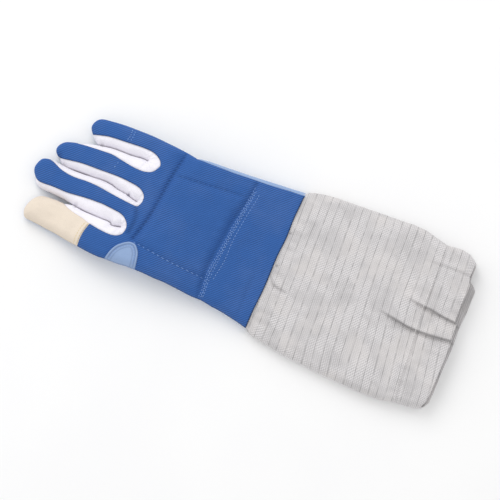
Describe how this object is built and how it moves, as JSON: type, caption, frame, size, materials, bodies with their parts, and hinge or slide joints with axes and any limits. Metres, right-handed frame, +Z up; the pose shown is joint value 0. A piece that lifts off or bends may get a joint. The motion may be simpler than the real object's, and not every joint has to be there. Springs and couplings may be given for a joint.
{
  "type": "fencing glove",
  "caption": "Right-hand fencing glove lying flat, with a padded twill back, leather finger sides, palm and thumb, and a long ribbed cuff.",
  "frame": {"origin": "middle of the glove on the surface that it lies on", "axes": "+X from the fingertips to the mouth of the cuff, +Y towards the little finger, +Z up from the floor through the back of the hand"},
  "size_m": [0.383, 0.148, 0.0285],
  "materials": {
    "twill": "blue cotton twill with a fine diagonal weave",
    "pale_leather": "pale blue soft leather",
    "white_leather": "white soft leather",
    "cream_leather": "cream suede leather",
    "cuff_cloth": "silver grey ribbed cloth with thin dark lines round it"
  },
  "bodies": {
    "root": {"back_panel": "twill", "index_cap": "cream_leather", "palm_panel": "pale_leather", "fourchette_little_ring": "white_leather", "fourchette_ring_middle": "white_leather", "fourchette_middle_index": "white_leather", "thumb_patch": "pale_leather", "thumb": "pale_leather", "cuff": "cuff_cloth"}
  },
  "joints": []
}
